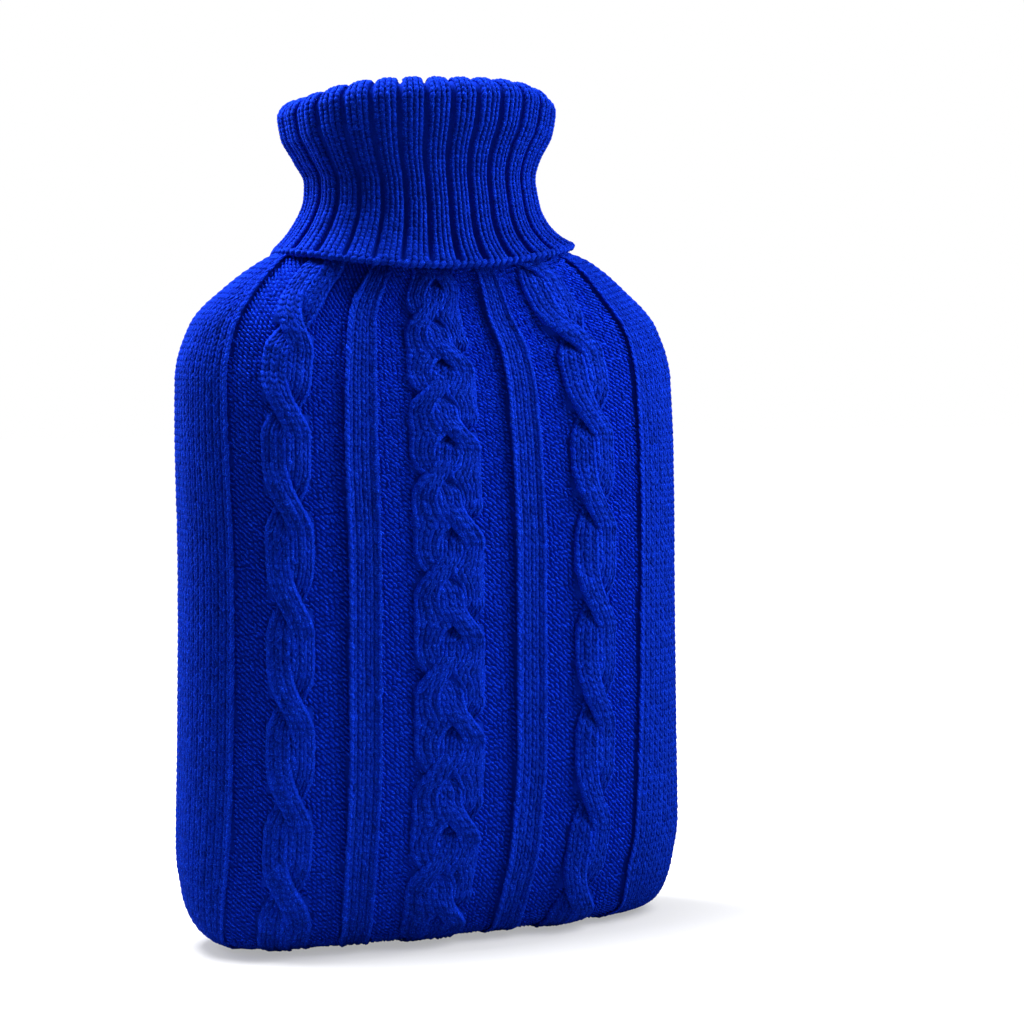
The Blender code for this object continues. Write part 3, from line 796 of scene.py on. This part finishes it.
# %% Measure the collar
RIBS = 28
COLLAR_ROWS = 80
RINGS_A_ROW = 3  # of the rings worked out in full
RIB_CROWN = 0.2 * MM
RIB_GROOVE = -1.9 * MM
COLLAR_WALL = 2.4 * MM
FOLD_RADIUS = 5.8  # mm
COLLAR_SQUARENESS = 2.2
INSIDE_LEVELS, FOLD_LEVELS, OUTSIDE_LEVELS = 40, 24, 80
COLLAR_INSIDE = np.array((
    (267.0, 267.0, 42.4, 24.4, 2.0, 0.0, -3.8),
    (284.0, 284.0, 41.0, 23.8, 2.0, 0.2, -4.4),
    (298.0, 297.0, 40.4, 23.6, 2.0, 0.6, -5.4),
    (314.0, 309.5, 41.4, 24.8, 3.0, 1.4, -6.2),
    (324.2, 318.2, 42.4, 26.0, 4.0, 1.8, -6.4),
))
COLLAR_OUTSIDE = np.array((
    (324.2, 318.2, 54.0, 37.4, 4.0, 1.8, -6.4),
    (316.0, 311.0, 52.6, 36.0, 3.0, 1.6, -6.4),
    (305.0, 303.0, 48.2, 31.8, 2.4, 1.0, -6.4),
    (293.0, 294.5, 45.0, 29.2, 2.0, 0.6, -5.2),
    (282.0, 286.0, 46.0, 29.6, 2.0, 0.2, -4.4),
    (272.0, 277.8, 49.8, 31.4, 2.0, 0.6, -4.2),
    (264.0, 271.0, 56.0, 35.2, 2.0, 1.8, -3.9),
    (260.0, 267.8, 60.6, 37.8, 2.0, 2.6, -3.4),
))


def fold(count):
    """Half a circle that carries the cloth from the inner layer to the outer."""
    angle = np.linspace(0, math.pi, count)[1:-1]
    out = ((1 - np.cos(angle)) / 2)[:, None]
    folded = COLLAR_INSIDE[-1] + (COLLAR_OUTSIDE[0] - COLLAR_INSIDE[-1]) * out
    folded[:, :2] += FOLD_RADIUS * np.sin(angle)[:, None]
    return folded


def collar_ring(level):
    front, side, half_width, half_depth, arch, slope, lean = level
    x, y, across = ring_outline(half_width, half_depth, COLLAR_SQUARENESS)
    rise = (side - front) * abs(across) ** arch + slope * across
    return np.stack([lean + x, y, front + rise], axis=1) * MM


def walk_evenly(rings, count):
    """The same cloth cut into rings that lie an even way apart along each column."""
    steps = np.linalg.norm(np.diff(rings, axis=0), axis=2)
    walked = np.concatenate([np.zeros((1, rings.shape[1])), np.cumsum(steps, axis=0)])
    even = np.empty((count, *rings.shape[1:]))
    for j in range(rings.shape[1]):
        at = np.linspace(0, walked[-1, j], count)
        even[:, j] = np.stack([np.interp(at, walked[:, j], rings[:, j, k]) for k in range(3)], axis=1)
    return even, walked[-1].mean()


def spaced(table, count):
    keys = np.arange(len(table), dtype=float)
    return smooth_columns(keys, table, np.linspace(0, keys[-1], count))


collar_levels = np.concatenate([spaced(COLLAR_INSIDE, INSIDE_LEVELS), fold(FOLD_LEVELS),
                                spaced(COLLAR_OUTSIDE, OUTSIDE_LEVELS)])
uneven_rings = np.array([collar_ring(level) for level in collar_levels])
collar_rings, collar_length = walk_evenly(uneven_rings, COLLAR_ROWS * RINGS_A_ROW + 1)
print("the collar is", round(collar_length / MM, 1), "mm long from neck edge to hem")

# %% [markdown]
# A place in the collar is given by its rib and how far across the rib it lies, from 0 in one groove to
# 1 in the next. The legs of the knit pair take most of that, and one bar of purl lies in the groove.

# %% Work the collar
RIB_POWER = 0.5  # how steeply a rib rises from its groove
NECK_FADE, HEM_FADE = 8, 2  # rows over which the ribs come in and go
HEM_SHARE, LEAST_SHARE = 0.4, 0.2  # what is left of them at the hem, and anywhere


def rib_relief(part, row):
    fading = np.minimum(row / NECK_FADE + 0.5, (COLLAR_ROWS - row) / HEM_FADE + HEM_SHARE)
    rise = (RIB_CROWN - RIB_GROOVE) * abs(np.sin(math.pi * part)) ** RIB_POWER
    return (RIB_GROOVE + rise) * np.clip(fading, LEAST_SHARE, 1)


def collar_middle(rib, row):
    return read_rings(collar_rings, np.asarray(row) * RINGS_A_ROW, np.asarray(rib) / RIBS)


def lay_collar(surface, rib, row):
    return lay_out(surface, rib, row, facing=-1)


def collar_cloth(rib, row):
    point, _, _, normal = lay_collar(collar_middle, rib, row)
    return point + normal * (COLLAR_WALL / 2 + rib_relief(rib, row))[..., None]


RIB_LEGS = (0.19, 0.40, 0.60, 0.81)  # where they lie in a rib
RIB_LEG_WIDTH = 0.112  # half of it, in ribs
RIB_LEG_ROWS = 0.95  # half a leg's length, in rows
RIB_LEG_LEAN = 0.22
RIB_LEG_DIP = 0.10
BAR_LENGTH = 0.14  # half of it, in ribs
BAR_ROWS = 0.45  # half a bar's width, in rows
BAR_THICK = 0.7 * YARN_THICK
BAR_SINK = 0.5 * MM
FIRST_SHOWN = 6  # rows below this are out of sight, down in the neck
FOLD_ROW = 37  # along the rim
collar_rows = np.arange(FIRST_SHOWN, COLLAR_ROWS - 1) + 0.5


def rib_stitches(basket, at_rows):
    every_rib = np.arange(RIBS, dtype=float)
    for number, part in enumerate(RIB_LEGS):
        side = -1 if number % 2 == 0 else 1
        rib, row = every(every_rib + part, at_rows)
        point, along, up, normal = lay_collar(collar_cloth, rib, row)
        leg = up / lengths(up) + side * RIB_LEG_LEAN * along / lengths(along) - RIB_LEG_DIP * normal
        sizes = lobe_sizes(RIB_LEG_WIDTH * lengths(along), YARN_THICK, RIB_LEG_ROWS * lengths(up))
        basket.add(point, normal, leg, sizes)
    point, along, up, normal = lay_collar(collar_cloth, *every(every_rib, at_rows))
    sizes = lobe_sizes(BAR_ROWS * lengths(up), BAR_THICK, BAR_LENGTH * lengths(along))
    basket.add(point - normal * BAR_SINK, normal, along, sizes)


inside_stitches = Basket("collar_inside_rib", sides=4)
rib_stitches(inside_stitches, collar_rows[collar_rows < FOLD_ROW])
inside_stitches.finish()
outside_stitches = Basket("collar_outside_rib")
rib_stitches(outside_stitches, collar_rows[collar_rows > FOLD_ROW])

# %% [markdown]
# The hem is the cast-on edge: a firm cord of loops, one for each stitch, that closes the ribs off.

# %% Cast on the hem
HEM_LOOPS = 4 * RIBS
HEM_ROW = COLLAR_ROWS - 0.6
HEM_THICK = 1.8 * MM  # half the cord's thickness through the cloth
HEM_DROP = 1.6 * MM  # half its height
HEM_OUT = 0.3 * MM  # from the cloth's middle
LOOP_LENGTH = 0.19  # half of it, in ribs
LOOP_SLANT = 0.55
hem_rib = (np.arange(HEM_LOOPS) + 0.5) / 4
point, along, up, normal = lay_collar(collar_middle, hem_rib, np.full(HEM_LOOPS, HEM_ROW))
loop = along / lengths(along) - LOOP_SLANT * up / lengths(up)
hem_sizes = lobe_sizes(np.full((HEM_LOOPS, 1), HEM_DROP), HEM_THICK, LOOP_LENGTH * lengths(along))
outside_stitches.add(point + normal * HEM_OUT, normal, loop, hem_sizes)
outside_stitches.finish()

# %% [markdown]
# ## The cloth beneath
#
# The lobes are the face of the yarn. Behind them lies the cloth itself, in the deep blue of wool that
# no light reaches: a closed shell with an inner wall, one for the body and one for the collar. These
# are the two sheets of the cover, and the stitches go with them.

# %% Make the cloth
UNDER = 0.32 * MM  # how far the cloth lies beneath the middle of the stitches
BODY_WALL = 2.6 * MM
BODY_START = -4.4  # the cloth's first row
BODY_STEP, COLLAR_STEP = 1.05, 1.5  # rows from one ring of the cloth to the next
RIB_PLACES = 6  # points across each rib
OFF_FLOOR = 0.3 * MM


def shell(name, outer, inner):
    """A closed sheet from two grids of rings: the sides are joined at both ends."""
    rings = np.concatenate([outer, inner[::-1]])
    count, places = rings.shape[:2]
    index = np.arange(count * places).reshape(count, places)
    after = np.roll(index, -1, axis=1)
    following = np.roll(index, -1, axis=0)
    diagonal = np.roll(after, -1, axis=0)
    faces = np.stack([index, after, diagonal, following], axis=2).reshape(-1, 4)
    mesh = bpy.data.meshes.new(name)
    mesh.from_pydata(rings.reshape(-1, 3).tolist(), [], faces.tolist())
    mesh.shade_smooth()
    mesh.materials.append(deep_wool)
    return put_in_scene(name, mesh)


stitches, at_rows = np.meshgrid(np.arange(ROUND) + 0.5, np.arange(BODY_START, ROWS + 0.1, BODY_STEP))
outer = off_body(stitches, at_rows, relief(stitches, at_rows) - UNDER)
inner = off_body(stitches, at_rows, np.full(stitches.shape, -BODY_WALL))
outer[..., 2] = np.maximum(outer[..., 2], OFF_FLOOR)
inner[..., 2] = np.maximum(inner[..., 2], BODY_WALL)
body = shell("knitted_body_cloth", outer, inner)

ribs, at_rows = np.meshgrid(np.arange(RIB_PLACES * RIBS) / RIB_PLACES,
                            np.arange(0, COLLAR_ROWS - 0.4, COLLAR_STEP))
point, _, _, normal = lay_collar(collar_middle, ribs, at_rows)
shown = point + normal * (COLLAR_WALL / 2 - UNDER + rib_relief(ribs, at_rows))[..., None]
collar = shell("rib_collar_cloth", point - normal * COLLAR_WALL / 2, shown)
print("cloth:", len(body.data.polygons), "and", len(collar.data.polygons), "faces")

# %% [markdown]
# ## The studio
#
# The cover stands on a white sweep. The paper gives a little light of its own to the camera only, more
# the farther it lies from the cover, so that it is pure white all round and still shows the soft shadow
# at the foot; that shadow is partly real and partly painted by the weaker glow there. The glow is a
# little blue, which paints the blue of that shadow. Its distance is measured with the depth stretched,
# as the foot is wider than it is deep.

# %% Lay the floor
FLOOR = 6.0  # half the floor's width
DEPTH_STRETCH = 2.2
GLOW_FROM, GLOW_TO = 0.09, 0.26  # m from the middle of the foot
GLOW_LEAST, GLOW_MOST = 0.40, 0.99
floor_mesh = bpy.data.meshes.new("floor")
floor_mesh.from_pydata([(-FLOOR, -FLOOR, 0), (FLOOR, -FLOOR, 0), (FLOOR, FLOOR, 0), (-FLOOR, FLOOR, 0)],
                       [], [(0, 1, 2, 3)])
floor = put_in_scene("floor", floor_mesh)
paper, paper_tree, paper_shader = new_material("white_paper", Base_Color=(0.4, 0.4, 0.4, 1.0),
                                               Roughness=0.9, Emission_Color=(0.965, 0.975, 1.0, 1.0))
spot = add_node(paper_tree, "ShaderNodeTexCoord").outputs["Object"]
deeper = add_node(paper_tree, "ShaderNodeVectorMath", {"operation": "MULTIPLY"}, i0=spot,
                  i1=(1.0, DEPTH_STRETCH, 1.0)).outputs[0]
away = add_node(paper_tree, "ShaderNodeVectorMath", {"operation": "LENGTH"}, i0=deeper).outputs["Value"]
# less glow near the foot: painted shadow on top of the real one
glow = add_node(paper_tree, "ShaderNodeMapRange", i0=away, i1=GLOW_FROM, i2=GLOW_TO,
                i3=GLOW_LEAST, i4=GLOW_MOST).outputs[0]
seen = add_node(paper_tree, "ShaderNodeLightPath").outputs["Is Camera Ray"]
paper_tree.links.new(math_node(paper_tree, "MULTIPLY", seen, glow),
                     paper_shader.inputs["Emission Strength"])
floor_mesh.materials.append(paper)
print("the floor is", 2 * FLOOR, "m wide")

# %% [markdown]
# One soft light near on the right, rather high, shades every cable to its left. A tall one behind on
# the left draws a bright line down that side, and one overhead lights the shoulders and the fold of the
# collar. The white room adds a little from all round.

# %% Hang the lights
ROOM_LIGHT = 0.13


def round_the_cover(azimuth, distance, height):
    """A place at an angle round the cover, counted from the front by the right."""
    angle = math.radians(azimuth)
    return distance * math.sin(angle), -distance * math.cos(angle), height


def aim(item, place, target):
    item.location = place
    item.rotation_euler = (Vector(target) - item.location).to_track_quat("-Z", "Y").to_euler()


def area_light(name, place, target, size, power):
    light = bpy.data.lights.new(name, "AREA")
    light.shape = "RECTANGLE"
    light.size, light.size_y = size
    light.energy = power
    aim(put_in_scene(name, light), place, target)


world = bpy.data.worlds.new("white_studio")
world.use_nodes = True
tree = world.node_tree
white = tree.nodes["Background"]
white.inputs["Color"].default_value = (1.0, 1.0, 1.0, 1.0)
dim = add_node(tree, "ShaderNodeBackground", Color=(1.0, 1.0, 1.0, 1.0), Strength=ROOM_LIGHT)
seen = add_node(tree, "ShaderNodeLightPath").outputs["Is Camera Ray"]
mixed = add_node(tree, "ShaderNodeMixShader", i0=seen, i1=dim.outputs[0], i2=white.outputs[0])
tree.links.new(mixed.outputs[0], tree.nodes["World Output"].inputs["Surface"])
scene.world = world

area_light("right_softbox", round_the_cover(58, 0.40, 0.48), (0, 0, 0.15), (0.28, 0.5), 4.2)
area_light("left_rim", round_the_cover(-136, 1.1, 0.45), (0, 0, 0.18), (0.4, 0.8), 9.0)
area_light("top_softbox", (-0.25, 0.15, 0.85), (0, 0, 0.22), (0.4, 0.4), 16.0)
print(len(bpy.data.lights), "lights")

# %% [markdown]
# The camera stands a little to the left of the front, at about two thirds of the cover's height, so
# that the left side panel shows. A long lens keeps the cover's lines nearly straight.

# %% Set the camera
AZIMUTH = -21.2  # degrees
DISTANCE = 0.900
EYE_HEIGHT = 0.223
ASIDE = 0.031  # how far right of the cover it looks, so the cover stands left in the picture
AIM = round_the_cover(AZIMUTH + 90, ASIDE, 0.1806)
camera_data = bpy.data.cameras.new("camera")
camera_data.sensor_width = 36.0
camera_data.lens = 80.3
camera_data.shift_y = -0.0387
camera = put_in_scene("camera", camera_data)
aim(camera, round_the_cover(AZIMUTH, DISTANCE, EYE_HEIGHT), AIM)
scene.camera = camera
scene.view_settings.view_transform = "Standard"
scene.view_settings.look = "None"
print("the camera stands at", [round(value, 3) for value in camera.location], "m")

# %% [markdown]
# ## Hand over
#
# Each piece rides on the cover's one body, and the pieces are sorted by the solid that they dress. The
# two cloths take the solids' places, which are hidden.

# %% Hand over
for piece in (*knitted, body, collar):
    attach(piece, "root")
    "rib_collar" if "collar" in piece.name else "knitted_body"
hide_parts("knitted_body")
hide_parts("rib_collar")
on_body = [piece for piece in knitted if "collar" not in piece.name]
on_collar = [piece for piece in knitted if "collar" in piece.name]
